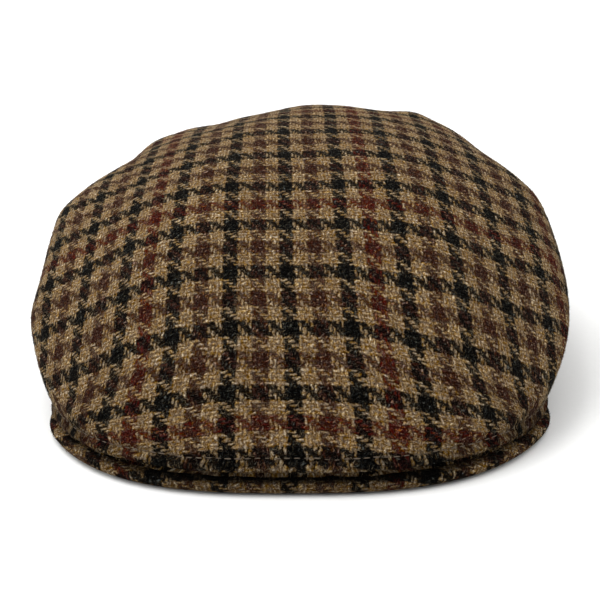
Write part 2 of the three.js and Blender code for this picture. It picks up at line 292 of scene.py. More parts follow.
class Value:
    """A number that varies over a surface. Arithmetic on it adds Math nodes to its node tree."""

    def __init__(self, nodes, socket):
        self.nodes = nodes
        self.socket = socket

    def maths(self, operation, *inputs):
        return self.nodes.node("ShaderNodeMath", {"operation": operation}, dict(enumerate(inputs)))

    def __add__(self, other):
        return self.maths("ADD", self, other)

    def __sub__(self, other):
        return self.maths("SUBTRACT", self, other)

    def __rsub__(self, other):
        return self.maths("SUBTRACT", other, self)

    def __mul__(self, other):
        return self.maths("MULTIPLY", self, other)

    def __truediv__(self, other):
        return self.maths("DIVIDE", self, other)

    def __pow__(self, other):
        return self.maths("POWER", self, other)

    def __mod__(self, other):
        return self.maths("FLOORED_MODULO", self, other)

    def __lt__(self, other):
        return self.maths("LESS_THAN", self, other)

    __radd__ = __add__
    __rmul__ = __mul__

    def floor(self):
        return self.maths("FLOOR", self)

    def equals(self, other):
        """1 where two whole numbers are the same, and 0 elsewhere."""
        return self.maths("COMPARE", self, other, WHOLE)

    def size(self):
        return self.maths("ABSOLUTE", self)

    def from_middle(self):
        """A noise, counted from its middle."""
        return self - NOISE_MIDDLE

    def between(self, low, high):
        """0 up to low, 1 from high, and a smooth step from one to the other."""
        ends = {"From Min": low, "From Max": high}
        return self.nodes.node(
            "ShaderNodeMapRange", {"interpolation_type": "SMOOTHSTEP"}, {"Value": self, **ends}
        )

    def span(self, when_zero, when_one):
        """Stretches a value from 0 to 1 between two numbers."""
        return self * (when_one - when_zero) + when_zero

    def choose(self, when_one, when_zero):
        """One of two values, by a value that is 0 or 1."""
        return when_zero + self * (when_one - when_zero)


class Nodes:
    """A node tree, with a method for each kind of node that is used often."""

    def __init__(self, tree):
        self.tree = tree

    def node(self, kind, settings, inputs, output=0):
        made = self.tree.nodes.new(kind)
        for name, setting in settings.items():
            setattr(made, name, setting)
        for name, given in inputs.items():
            self.feed(made.inputs[name], given)
        return Value(self, made.outputs[output])

    def feed(self, socket, given):
        if isinstance(given, Value):
            self.tree.links.new(given.socket, socket)
        else:
            socket.default_value = given

    def vector(self, x, y, z):
        return self.node("ShaderNodeCombineXYZ", {}, {"X": x, "Y": y, "Z": z})

    def parts(self, vector):
        split = self.node("ShaderNodeSeparateXYZ", {}, {"Vector": vector})
        return [Value(self, socket) for socket in split.socket.node.outputs]

    def mix(self, factor, first, second, mode="MIX"):
        settings = {"data_type": "RGBA", "blend_type": mode}
        return self.node("ShaderNodeMix", settings, {0: factor, 6: first, 7: second}, 2)

    def lit(self, colour, light):
        """A colour times the colour of its light."""
        return self.mix(1.0, colour, light, "MULTIPLY")

    def grey(self, level):
        return self.node("ShaderNodeCombineColor", {}, {"Red": level, "Green": level, "Blue": level})

    def noise(self, vector, scale=1.0, detail=2.0, roughness=0.5):
        inputs = {"Vector": vector, "Scale": scale, "Detail": detail, "Roughness": roughness}
        return self.node("ShaderNodeTexNoise", {}, inputs)

    def chance(self, x, y, z=0.0):
        """A random number from 0 to 1 for each set of numbers."""
        return self.node("ShaderNodeTexWhiteNoise", {}, {"Vector": self.vector(x, y, z)})

    def bump(self, height, distance):
        return self.node("ShaderNodeBump", {}, {"Height": height, "Distance": distance})

    def uv_map(self, name):
        """The two numbers that one of the piece's UV maps holds at each place."""
        first, second, _ = self.parts(self.node("ShaderNodeUVMap", {"uv_map": name}, {}))
        return first, second


class Finish(Nodes):
    """A material and its nodes."""

    def __init__(self, name):
        self.material = bpy.data.materials.new(name)
        self.material.use_nodes = True
        super().__init__(self.material.node_tree)
        self.shader = self.tree.nodes["Principled BSDF"]

    def surface(self, **inputs):
        """Sets the shader's sockets, named with _ for each space."""
        for name, given in inputs.items():
            self.feed(self.shader.inputs[name.replace("_", " ")], given)


def srgb(red, green, blue):
    """A colour as a screen shows it, from 0 to 255, in the renderer's own linear scale."""

    def linear(level):
        share = level / 255
        return share / 12.92 if share <= 0.04045 else ((share + 0.055) / 1.055) ** 2.4

    return (linear(red), linear(green), linear(blue), 1.0)


# Each wool is a blend of two shades, as a screen shows them: its own colour and its paler hairs.
WOOLS = {
    "tan": (srgb(112, 87, 53), srgb(206, 187, 154)),
    "brown": (srgb(60, 33, 25), srgb(164, 136, 118)),
    "rust": (srgb(77, 14, 5), srgb(162, 118, 92)),
    "dark": (srgb(0, 0, 0), srgb(88, 92, 90)),
}
STRAY_WOOL = srgb(176, 163, 144)
WOOL_SHEEN = srgb(235, 215, 180)
TAN_NAP = 0.1  # how thick the nap of each wool is, beside that of the others
COLOURED_NAP = 0.35
DARK_NAP = 1.3
WARP_NAP = 1.2  # the warp has more nap than the weft
THREAD_SHADES = (srgb(60, 50, 40), srgb(98, 84, 68))
FLOOR_SHADES = (srgb(206, 206, 205), srgb(210, 210, 209))


def yarn(finish, number, rust_number, blend, hairs):
    """Colour of a warp or weft yarn by its number in the cloth, and how thick its nap is."""
    stripe = (((number + STRIPE_YARNS / 2) % REPEAT_YARNS) / STRIPE_YARNS).floor()
    is_dark = stripe.equals(DARK_STRIPE)
    is_coloured = stripe.equals(COLOURED_STRIPE)
    is_rust = is_coloured * ((number / REPEAT_YARNS).floor() % RUST_EVERY).equals(rust_number)
    shades = {name: finish.mix(blend if name == "tan" else hairs, *pair) for name, pair in WOOLS.items()}
    colour = finish.mix(is_coloured, shades["tan"], shades["brown"])
    colour = finish.mix(is_rust, colour, shades["rust"])
    colour = finish.mix(is_dark, colour, shades["dark"])
    return colour, is_dark * (DARK_NAP - TAN_NAP) + is_coloured * (COLOURED_NAP - TAN_NAP) + TAN_NAP


def wander(finish, x, y, layer):
    """Uneven yarns: they wander slowly over many yarns and quickly from one to the next."""
    spot = finish.vector(x, y, layer)
    slow = finish.noise(spot, SLOW_RIPPLES, detail=1.0).from_middle() * SLOW_WANDER
    quick = finish.noise(spot, QUICK_RIPPLES, detail=1.0).from_middle() * QUICK_WANDER
    return slow + quick


def cloth_place(finish):
    """Place in the flat cloth, in millimetres across and along, and counted in warp and weft yarns."""
    across, along = finish.uv_map("cloth")
    warp = across / YARN_ACROSS + wander(finish, across, along, WARP_LAYER)
    weft = along / YARN_ALONG + wander(finish, along, across, WEFT_LAYER)
    return across, along, warp, weft


def cloth_noise(finish, across, along, name):
    """One of the noises over the flat cloth."""
    row = NOISES[name]
    spot = finish.vector(across, along, row["layer"])
    return finish.noise(spot, row["ripples"], row["detail"], row["roughness"])


def curls(finish, across, along, name):
    """Curled fibres that lie on the cloth, as thin winding lines."""
    return 1 - cloth_noise(finish, across, along, name).from_middle().size().between(0.0, CURL_WIDTH)


class UpperYarn:
    """The yarn on top at each place of the twill, and where on its float the place is.

    Each warp yarn goes over two weft yarns and under two, one step further for each yarn. A float is a
    rounded stroke that dips under the next yarn at both ends.
    """

    def __init__(self, nodes, warp, weft):
        self.nodes = nodes
        warp_number = warp.floor()
        weft_number = weft.floor()
        warp_part = warp - warp_number
        weft_part = weft - weft_number
        step = (warp_number - weft_number + FLOAT_YARNS) % (2 * FLOAT_YARNS)
        self.is_warp = step < FLOAT_YARNS - WHOLE
        self.number = self.is_warp.choose(warp_number, weft_number)
        self.run = self.is_warp.choose(weft, warp)
        self.cross = self.is_warp.choose(warp, weft)
        side = self.is_warp.choose(warp_part, weft_part)
        passed = self.is_warp.choose(weft_part - step + (FLOAT_YARNS - 1), warp_part + step - FLOAT_YARNS)
        self.length = passed / FLOAT_YARNS
        self.width_curve = 1 - (side * 2 - 1) ** 2
        self.length_curve = 1 - ((self.length * 2 - 1) ** 2) ** 2

    def wool(self, ripples, **settings):
        """A noise of the wool, drawn out along the yarn and turned by its twist."""
        turned = self.cross * ripples["across"] + self.run * ripples["slant"]
        depth = self.number * ripples["next"] + ripples["layer"]
        return self.nodes.noise(self.nodes.vector(turned, self.run * ripples["along"], depth), **settings)


def check_colour(finish, upper, fibres, strays, place):
    """Colour of the check. The cloth is milled, so nap of the lower yarn covers the upper one's edges."""
    across, along, warp, weft = place
    blend = fibres.between(*BLEND_REACH)
    hairs = upper.wool(DRAWN).between(*HAIR_REACH)
    warp_comb = cloth_noise(finish, across, along * COMB_RIPPLES, "warp comb").from_middle() * COMB
    weft_comb = cloth_noise(finish, across * COMB_RIPPLES, along, "weft comb").from_middle() * COMB
    warp_colour, warp_nap = yarn(finish, (warp + warp_comb).floor(), RUST_WARP, blend, hairs)
    weft_colour, weft_nap = yarn(finish, (weft + weft_comb).floor(), RUST_WEFT, blend, hairs)
    warp_nap = warp_nap * WARP_NAP
    upper_colour = finish.mix(upper.is_warp, weft_colour, warp_colour)
    lower_colour = finish.mix(upper.is_warp, warp_colour, weft_colour)
    lower_nap = upper.is_warp.choose(weft_nap, warp_nap)
    cover = upper.width_curve * upper.length_curve.span(END_COVER, 1)
    milled = MILLING - (cover + strays.from_middle() * STRAY_COVER).between(*COVER_REACH)
    return finish.mix(milled * lower_nap / (warp_nap + weft_nap), upper_colour, lower_colour)


def wool_light(finish, upper, fibres, relief):
    """How bright the yarns are: each lot, stroke and fibre differs in tone, and the hollows between carry
    painted shade.
    """
    lot = finish.chance(upper.number, upper.is_warp)
    stroke_number = ((upper.run - upper.length) * FLOAT_STROKES).floor()
    stroke = finish.chance(stroke_number, upper.number, upper.is_warp)
    light = lot.span(*LOT_LIGHT) * stroke.span(*STROKE_LIGHT)
    return light * fibres.span(*TWIST_LIGHT) * relief.span(*RELIEF_LIGHT)


def painted_lip_shade(finish):
    """Painted shade along the crown's lip, darkest at its edge."""
    from_edge, _ = finish.uv_map("rim")
    return from_edge.between(*PAINTED_LIP_SHADE_REACH).span(PAINTED_LIP_SHADE, 1)


def painted_peak_shade(finish):
    """Painted shade on the peak: darker in the middle and in the crease under the lip."""
    across, _ = finish.uv_map("cloth")
    round_edge, _ = finish.uv_map("rim")
    middle = 1 - across.size().between(*PAINTED_PEAK_SHADE_REACH)
    crease = (1 - round_edge.between(*CREASE_REACH)) * middle.span(CREASE_AT_ENDS, 1)
    return middle.span(1, PAINTED_PEAK_SHADE) * crease.span(1, PAINTED_CREASE_SHADE)


def tweed_finish(name, shade=None):
    """Wool tweed in a small check, yarn by yarn, read from each piece's place in the flat cloth."""
    finish = Finish(name)
    place = cloth_place(finish)
    across, along, warp, weft = place
    upper = UpperYarn(finish, warp, weft)
    relief = upper.width_curve**RELIEF_SHARPNESS * upper.length_curve.span(END_RELIEF, 1)
    fibres = upper.wool(TWISTED, detail=3.0, roughness=0.65)
    strays = cloth_noise(finish, across, along, "strays")
    pale_curls = curls(finish, across, along, "pale curls")
    dark_curls = curls(finish, across, along, "dark curls")

    # the wool's tone, with the painted shade of its hollows
    light = wool_light(finish, upper, fibres, relief)
    light = light * pale_curls.span(*PALE_CURL_LIGHT) * dark_curls.span(*DARK_CURL_LIGHT)
    light = light * strays.span(*STRAY_LIGHT)
    warm = {"Red": light**RED_CURVE, "Green": light, "Blue": light**BLUE_CURVE}
    colour = check_colour(finish, upper, fibres, strays, place)
    colour = finish.lit(colour, finish.node("ShaderNodeCombineColor", {}, warm))
    dye = cloth_noise(finish, across, along, "dye").between(*DYE_REACH)
    dyed = {"Saturation": dye.span(*DYE_SATURATION), "Color": colour}
    colour = finish.node("ShaderNodeHueSaturation", {}, dyed)
    specks = cloth_noise(finish, across, along, "specks").between(*SPECK_REACH)
    colour = finish.mix(specks * pale_curls * SPECK_STRENGTH, colour, STRAY_WOOL)
    # painted shade, where the piece is given one
    if shade:
        colour = finish.lit(colour, finish.grey(shade(finish)))

    height = relief + fibres.from_middle() * FIBRE_HEIGHT
    height = height + strays.from_middle() * STRAY_HEIGHT + pale_curls * CURL_HEIGHT
    finish.surface(
        Base_Color=colour,
        Normal=finish.bump(height, RELIEF_DEPTH * MM),
        Roughness=0.95,
        Specular_IOR_Level=0.02,
        Sheen_Weight=0.006,
        Sheen_Roughness=0.4,
        Sheen_Tint=WOOL_SHEEN,
    )
    return finish.material


def fibre_finish(name, level, shade=None):
    """A loose fibre takes the colour of the yarn at its root, as bright as the cloth around it."""
    finish = Finish(name)
    across, along, warp, weft = cloth_place(finish)
    blend = finish.chance(across, along)
    hairs = blend**PALE_CURVE
    warp_colour, _ = yarn(finish, warp.floor(), RUST_WARP, blend, hairs)
    weft_colour, _ = yarn(finish, weft.floor(), RUST_WEFT, blend, hairs)
    from_warp = finish.chance(along, across) < WARP_SHARE
    colour = finish.mix(from_warp, weft_colour, warp_colour)
    # painted shade, where the piece is given one, as on its cloth
    light = shade(finish) * level if shade else level
    finish.surface(
        Base_Color=finish.lit(colour, finish.grey(light)),
        Roughness=0.8,
        Specular_IOR_Level=0.1,
    )
    return finish.material


def thread_finish():
    """Matt sewing thread."""
    finish = Finish("thread")
    place = finish.node("ShaderNodeTexCoord", {}, {}, "Object")
    fray = finish.noise(place, THREAD_GRAIN)
    finish.surface(
        Base_Color=finish.mix(fray, *THREAD_SHADES),
        Roughness=0.8,
        Normal=finish.bump(fray, THREAD_DEPTH * MM),
    )
    return finish.material


def floor_finish():
    """Pale matt paper with hardly any grain, and a painted glow far from the cap."""
    finish = Finish("floor")
    place = finish.node("ShaderNodeTexCoord", {}, {}, "Object")
    grain = finish.noise(place, FLOOR_GRAIN)
    distance = finish.node("ShaderNodeVectorMath", {"operation": "LENGTH"}, {0: place}, "Value")
    painted_glow = distance.between(*FLOOR_PAINTED_GLOW_REACH) * FLOOR_PAINTED_GLOW
    finish.surface(
        Base_Color=finish.mix(grain, *FLOOR_SHADES),
        Roughness=0.9,
        Emission_Color=finish.grey(painted_glow),
        Emission_Strength=1.0,
    )
    return finish.material


def merged_copy(node):
    """A solid's surface as one joined mesh of four-sided faces."""
    copy = bmesh.new()
    copy.from_mesh(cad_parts[node].data)
    bmesh.ops.remove_doubles(copy, verts=copy.verts, dist=MERGE_DISTANCE * MM)
    bmesh.ops.join_triangles(
        copy,
        faces=copy.faces,
        angle_face_threshold=JOIN_ANGLE,
        angle_shape_threshold=JOIN_ANGLE,
        topology_influence=1.0,
    )
    return copy


def subdivided(shape):
    """A mesh smoothed by subdivision, with the subdivision made real."""
    cage = bpy.data.meshes.new("cage")
    shape.to_mesh(cage)
    shape.free()
    holder = bpy.data.objects.new("cage", cage)
    bpy.context.scene.collection.objects.link(holder)
    modifier = holder.modifiers.new("rounding", "SUBSURF")
    modifier.levels = SUBDIVISIONS
    modifier.render_levels = SUBDIVISIONS
    bpy.context.view_layer.update()
    mesh = bpy.data.meshes.new_from_object(holder.evaluated_get(bpy.context.evaluated_depsgraph_get()))
    bpy.data.objects.remove(holder)
    bpy.data.meshes.remove(cage)
    return mesh


def points_of(mesh):
    """Places of a mesh's vertices, in millimetres."""
    flat = np.zeros(len(mesh.vertices) * 3)
    mesh.vertices.foreach_get("co", flat)
    return flat.reshape(-1, 3) / MM


def normals_of(mesh):
    flat = np.zeros(len(mesh.vertices) * 3)
    mesh.vertices.foreach_get("normal", flat)
    return flat.reshape(-1, 3)


def put_points(mesh, points):
    mesh.vertices.foreach_set("co", (points * MM).ravel())
    mesh.update()


def put_map(mesh, name, first, second):
    """Gives each corner of a mesh two numbers, such as its place in the flat cloth, as a UV map."""
    layer = mesh.uv_layers.new(name=name)
    vertex = np.zeros(len(mesh.loops), dtype=int)
    mesh.loops.foreach_get("vertex_index", vertex)
    layer.uv.foreach_set("vector", np.stack([first, second], axis=1)[vertex].ravel())


def plan_turn(points):
    """Angle of each point round the plan centre, from the front."""
    return np.arctan2(points[:, 0], PLAN_CENTRE_Y - points[:, 1])


def back_turn(points):
    """Angle of each point round the plan centre, from the back."""
    return np.arctan2(points[:, 0], points[:, 1] - PLAN_CENTRE_Y)


def plan_radius(points):
    return np.hypot(points[:, 0], points[:, 1] - PLAN_CENTRE_Y)


def outermost(points):
    """Angles round the plan centre between the ends of the peak, with the outermost point at each."""
    turn = np.degrees(plan_turn(points))
    radius = plan_radius(points)
    turns = np.arange(-PEAK_END + EDGE_STEP, PEAK_END, EDGE_STEP)
    edge = []
    for angle in turns:
        near = np.flatnonzero(np.abs(turn - angle) < EDGE_STEP)
        edge.append(points[near[np.argmax(radius[near])]])
    edge = np.array(edge)
    return np.radians(turns), plan_radius(edge), edge[:, 2]


def place_piece(name, mesh, material, node=None):
    """Makes a mesh a piece of the cap."""
    mesh.name = name
    mesh.shade_smooth()
    mesh.materials.clear()
    mesh.materials.append(material)
    piece = bpy.data.objects.new(name, mesh)
    bpy.context.scene.collection.objects.link(piece)
    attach(piece, "root")
    if node:
        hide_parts(node)
    return piece


class CrownCloth:
    """Where each point of the crown lies in the flat cloth, in millimetres across and along.

    Weft rows lie in planes across the cap, and along a row the cloth is as long as the surface. Along the
    middle of the cap the rows are as far apart as the surface is long.
    """

    def __init__(self):
        shape = merged_copy("crown_top")
        self.skin = BVHTree.FromBMesh(shape)
        shape.free()
        first = FRONT_FAN_Y - FAN_RADIUS * FRONT_FAN_TURN
        last = BACK_FAN_Y + FAN_RADIUS * BACK_FAN_TURN
        self.rows = np.arange(first, last, ROW_STEP)
        half = round(SECTION_TURN / SECTION_STEP)
        self.turns = np.arange(-half, half + 1) * SECTION_STEP
        sections = np.array([self.section(row) for row in self.rows])
        steps = np.linalg.norm(np.diff(sections, axis=1), axis=2)
        from_start = np.concatenate([np.zeros((len(self.rows), 1)), np.cumsum(steps, axis=1)], axis=1)
        self.lengths = from_start - from_start[:, half : half + 1]
        middle = np.linalg.norm(np.diff(sections[:, half], axis=0), axis=1)
        self.distances = np.concatenate([[0], np.cumsum(middle)])

    def plane(self, row):
        """The point that a section of the crown is drawn round, and the way up in its plane, as (y, z)."""
        if row < FRONT_FAN_Y:
            lean = (FRONT_FAN_Y - row) / FAN_RADIUS
            return (FRONT_FAN_Y, FRONT_FAN_Z), (-math.sin(lean), math.cos(lean))
        if row > BACK_FAN_Y:
            lean = (row - BACK_FAN_Y) / FAN_RADIUS
            return (BACK_FAN_Y, BACK_FAN_Z), (math.sin(lean), math.cos(lean))
        return (row, self.middle_height(row)), (0.0, 1.0)

    def middle_height(self, row):
        return np.interp(row, [FRONT_FAN_Y, BACK_FAN_Y], [FRONT_FAN_Z, BACK_FAN_Z])

    def section(self, row):
        """Points of the crown's outside in one plane, from the right side over the top to the left."""
        centre, up = self.plane(row)
        middle = Vector((0.0, *centre)) * MM
        reach = SECTION_REACH * MM
        radii = []
        ways = []
        for turn in self.turns:
            way = Vector((math.sin(turn), up[0] * math.cos(turn), up[1] * math.cos(turn)))
            hit, _, _, distance = self.skin.ray_cast(middle + way * reach, -way, reach)
            radii.append((reach - distance) / MM if hit else np.nan)
            ways.append(way)
        radii = np.array(radii)
        found = ~np.isnan(radii)
        if not found.any():
            radii[:] = MISSED_RADIUS
        else:
            radii = np.interp(self.turns, self.turns[found], radii[found])
        return np.array(ways) * radii[:, None] + np.array((0.0, *centre))

    def row_of(self, points):
        """The row that each point lies in."""
        y, z = points[:, 1], points[:, 2]
        front = FRONT_FAN_Y - FAN_RADIUS * np.arctan2(FRONT_FAN_Y - y, z - FRONT_FAN_Z)
        back = BACK_FAN_Y + FAN_RADIUS * np.arctan2(y - BACK_FAN_Y, z - BACK_FAN_Z)
        return np.where(y < FRONT_FAN_Y, front, np.where(y > BACK_FAN_Y, back, y))

    def turn_of(self, points):
        """Where each point lies in the section of its row, as an angle from the top."""
        x, y, z = points.T
        front = np.hypot(y - FRONT_FAN_Y, z - FRONT_FAN_Z)
        back = np.hypot(y - BACK_FAN_Y, z - BACK_FAN_Z)
        upright = z - self.middle_height(y)
        return np.arctan2(x, np.where(y < FRONT_FAN_Y, front, np.where(y > BACK_FAN_Y, back, upright)))

    def length_at(self, row, turn):
        """Length of cloth from the middle of a row, between the rows and turns that were followed."""
        row_place = np.clip((row - self.rows[0]) / ROW_STEP, 0, len(self.rows) - SHORT_OF_LAST)
        turn_place = np.clip((turn - self.turns[0]) / SECTION_STEP, 0, len(self.turns) - SHORT_OF_LAST)
        i = row_place.astype(int)
        j = turn_place.astype(int)
        past_row = row_place - i
        past_turn = turn_place - j
        near = self.lengths[i, j] * (1 - past_turn) + self.lengths[i, j + 1] * past_turn
        far = self.lengths[i + 1, j] * (1 - past_turn) + self.lengths[i + 1, j + 1] * past_turn
        return near * (1 - past_row) + far * past_row

    def lay(self, points):
        """Places across and along the cloth; along grows towards the front."""
        row = self.row_of(points)
        length = self.length_at(row, self.turn_of(points))
        outside = np.maximum(np.abs(length) - ROW_BEND_FROM, 0)
        bend = ROW_BEND * outside**2 / (1 + outside / ROW_BEND_EASE)
        bend *= np.clip((BACK_FAN_Y - row) / BACK_FAN_Y, 0, 1)
        zero = np.interp(ZERO_ROW_Y, self.rows, self.distances)
        along = zero - np.interp(row - bend, self.rows, self.distances)
        across = length - ZERO_COLUMN - WARP_LEAN * along
        shift = np.zeros(len(points))
        for place in EASED:
            sideways = (across - place["across"]) / place["wide"]
            lengthways = (along - place["along"]) / place["long"]
            shift += place["shift"] * np.exp(-(sideways**2 + lengthways**2))
        near_lip = np.clip((along - FRONT_EASE_FROM) / (FRONT_EASE_TO - FRONT_EASE_FROM), 0, 1)
        return across * (1 - FRONT_EASE * near_lip), along + shift


def waves(points):
    """Slow unevenness of the cloth, as a shift of each point."""
    shifts = [noise.noise_vector(Vector(point) / WAVE_LENGTH) for point in points]
    return WAVE * np.array(shifts)


def dents(points):
    """The soft bumps and dents of the crown, as a shift of each point."""
    outward = points - np.array(DENT_CENTRE)
    outward[:, 2] = np.maximum(outward[:, 2], 0)
    outward /= np.linalg.norm(outward, axis=1)[:, None]
    lift = np.zeros(len(points))
    for dent in DENTS:
        away = np.linalg.norm(points - np.array([dent["x"], dent["y"], dent["z"]]), axis=1)
        lift += dent["lift"] * bell(away, dent["wide"])
    return outward * lift[:, None]


def lip_edge(points):
    """The outer bottom edge of the lip, as closely spaced points from the right end to the left."""
    turns, radii, heights = outermost(points[points[:, 2] < LIP_TOP])
    fine = np.linspace(turns[0], turns[-1], LIP_POINTS)
    radius = np.interp(fine, turns, radii)
    height = np.interp(fine, turns, heights)
    return np.stack([radius * np.sin(fine), PLAN_CENTRE_Y - radius * np.cos(fine), height], axis=1)


def bell(distance, width):
    """1 at no distance, falling away smoothly on both sides."""
    return np.exp(-((distance / width) ** 2))


def lip_rise(points, edge):
    """Distance of each point from the edge of the lip."""
    rise = np.full(len(points), float(LIP_FAR))
    near = np.flatnonzero((points[:, 2] < LIP_FAR) & (points[:, 1] < PLAN_CENTRE_Y))
    for part in np.array_split(near, LIP_BATCHES):
        rise[part] = np.linalg.norm(points[part, None] - edge[None], axis=2).min(axis=1)
    return np.minimum(rise, LIP_FAR)


def lip_shift(points, normals, rise):
    """The lip bulges over its tucked edge, is drawn in along its stitches and puckers a little."""
    outward = points - np.array([0, PLAN_CENTRE_Y, 0])
    outward[:, 2] = 0
    outward /= np.linalg.norm(outward, axis=1)[:, None]
    facing = np.clip((normals * outward).sum(axis=1) / LIP_FACING, 0, 1)
    past_end = np.degrees(np.abs(plan_turn(points))) - LIP_CLOSES_FROM
    loose = 1 - np.clip(past_end / (PEAK_END - LIP_CLOSES_FROM), 0, 1)
    bulge = LIP_BULGE * bell(rise - LIP_BULGE_RISE, LIP_BULGE_WIDTH)
    bulge = (bulge - LIP_TUCK * bell(rise, LIP_TUCK_WIDTH)) * loose
    sag = LIP_SAG * bell(rise - LIP_SAG_RISE, LIP_BULGE_WIDTH)
    groove = GROOVE_DEPTH * bell(rise - STITCH_RISE, GROOVE_WIDTH)
    puckers = np.array([noise.noise(Vector(point) / PUCKER_LENGTH) for point in points])
    pucker = PUCKER * puckers * bell(rise - STITCH_RISE, PUCKER_WIDTH)
    shift = normals * (pucker - groove)[:, None] + outward * bulge[:, None]
    shift[:, 2] -= sag
    return shift * facing[:, None]


def crown_top(material):
    """The top panel, with its lip. Gives the piece and the edge of the lip."""
    mesh = subdivided(merged_copy("crown_top"))
    points = points_of(mesh)
    edge = lip_edge(points)
    rise = lip_rise(points, edge)
    put_map(mesh, "cloth", *CrownCloth().lay(points))
    # the rim map holds the distance from the lip's edge, which places the lip's painted shade
    put_map(mesh, "rim", rise, plan_turn(points))
    above_lip = np.clip((points[:, 2] - LIP_TOP) / LIP_CALM, 0, 1)[:, None]
    slow = dents(points) + waves(points) * above_lip
    put_points(mesh, points + lip_shift(points, normals_of(mesh), rise) + slow)
    return place_piece("crown_top_cloth", mesh, material, "crown_top"), edge


def skin_of(mesh):
    """A mesh's surface in millimetres, for finding its nearest points."""
    return BVHTree.FromPolygons(points_of(mesh), [list(face.vertices) for face in mesh.polygons])


def lip_stitches(skin, edge, material):
    """Short thread stitches along the lip, each sunk into the cloth."""
    rng = np.random.default_rng(STITCH_SEED)
    lengths = np.concatenate([[0], np.cumsum(np.linalg.norm(np.diff(edge, axis=0), axis=1))])

    def on_edge(place):
        return Vector([np.interp(place, lengths, edge[:, axis]) for axis in range(3)])

    shape = bmesh.new()
    for place in np.arange(STITCH_PITCH / 2, lengths[-1], STITCH_PITCH):
        spot = on_edge(place)
        outward = Vector((spot.x, spot.y - PLAN_CENTRE_Y, 0)).normalized()
        start = spot + Vector((0, 0, STITCH_RISE)) + outward * STITCH_SEARCH
        hit, normal, _, _ = skin.ray_cast(start, -outward, 2 * STITCH_SEARCH)
        if hit is None:
            continue
        along = (on_edge(place + STITCH_AHEAD) - spot).normalized()
        along = (along - normal * along.dot(normal)).normalized()
        turn = Matrix((along, normal.cross(along), normal)).transposed().to_4x4()
        size = Vector((STITCH_LENGTH, STITCH_THICKNESS, STITCH_THICKNESS)) / 2 * rng.uniform(*STITCH_SIZES)
        hit = hit + normal * rng.uniform(-STITCH_SINK, STITCH_SINK)
        matrix = Matrix.Translation(hit * MM) @ turn @ Matrix.Diagonal((*(size * MM), 1))
        bmesh.ops.create_icosphere(shape, subdivisions=2, radius=1, matrix=matrix)
    mesh = bpy.data.meshes.new("lip_stitches")
    shape.to_mesh(mesh)
    shape.free()
    return place_piece("lip_stitches", mesh, material)


def outside_points(mesh, count, rng):
    """Random points of the cloth's outside, with their normals and what the UV maps hold there."""
    mesh.calc_loop_triangles()
    corners = np.zeros(len(mesh.loop_triangles) * 3, dtype=int)
    mesh.loop_triangles.foreach_get("vertices", corners)
    loops = np.zeros(len(corners), dtype=int)
    mesh.loop_triangles.foreach_get("loops", loops)
    corners = points_of(mesh)[corners].reshape(-1, 3, 3)
    across = np.cross(corners[:, 1] - corners[:, 0], corners[:, 2] - corners[:, 0])
    size = np.linalg.norm(across, axis=1)
    normals = across / np.maximum(size, TINY_AREA)[:, None]
    outward = corners.mean(axis=1) - np.array(FIBRE_CENTRE)
    outside = ((normals * outward).sum(axis=1) > 0) & (normals[:, 2] > FIBRE_FACING)
    weight = np.where(outside, size, 0)
    chosen = rng.choice(len(size), count, p=weight / weight.sum())
    shares = rng.dirichlet((1, 1, 1), count)[:, :, None]
    maps = {}
    for layer in mesh.uv_layers:
        held = np.zeros(len(mesh.loops) * 2)
        layer.uv.foreach_get("vector", held)
        held = held.reshape(-1, 2)[loops].reshape(-1, 3, 2)
        maps[layer.name] = (held[chosen] * shares).sum(axis=1)
    return (corners[chosen] * shares).sum(axis=1), normals[chosen], maps


def loose_fibres(name, mesh, count, seed, material):
    """Short wool fibres that stand off the cloth, each a closed spindle bent in the middle."""
    rng = np.random.default_rng(seed)
    roots, normals, maps = outside_points(mesh, count, rng)
    maps["cloth"] += rng.normal(0, FIBRE_SPREAD, (count, 2))
    along = np.cross(normals, rng.normal(size=(count, 3)))
    along /= np.linalg.norm(along, axis=1)[:, None]
    beside = np.cross(normals, along)
    half = rng.uniform(*FIBRE_LENGTH, (count, 1)) / 2
    curl = rng.uniform(-FIBRE_CURL, FIBRE_CURL, (count, 1)) * half
    lift = rng.uniform(*FIBRE_LIFT, (count, 1))
    stand = rng.uniform(*FIBRE_STAND, (count, 1))
    middle = roots + beside * curl + normals * lift
    spindle = [roots - along * half - normals * FIBRE_ROOT]
    for turn in (0, 2 * math.pi / 3, 4 * math.pi / 3):
        spindle.append(middle + (normals * math.cos(turn) + beside * math.sin(turn)) * FIBRE_RADIUS)
    spindle.append(roots + along * half + normals * stand)
    points = np.stack(spindle, axis=1).reshape(-1, 3)
    points[:, 2] = np.maximum(points[:, 2], 0)
    sides = np.array([(0, 1, 2), (0, 2, 3), (0, 3, 1), (4, 2, 1), (4, 3, 2), (4, 1, 3)])
    corners = (sides + len(spindle) * np.arange(count)[:, None, None]).ravel()
    made = bpy.data.meshes.new(name)
    made.vertices.add(len(points))
    made.loops.add(len(corners))
    made.polygons.add(len(corners) // 3)
    made.loops.foreach_set("vertex_index", corners)
    made.polygons.foreach_set("loop_start", np.arange(0, len(corners), 3))
    made.update(calc_edges=True)
    put_points(made, points)
    for map_name, held in maps.items():
        put_map(made, map_name, *np.repeat(held, len(spindle), axis=0).T)
    return place_piece(name, made, material)


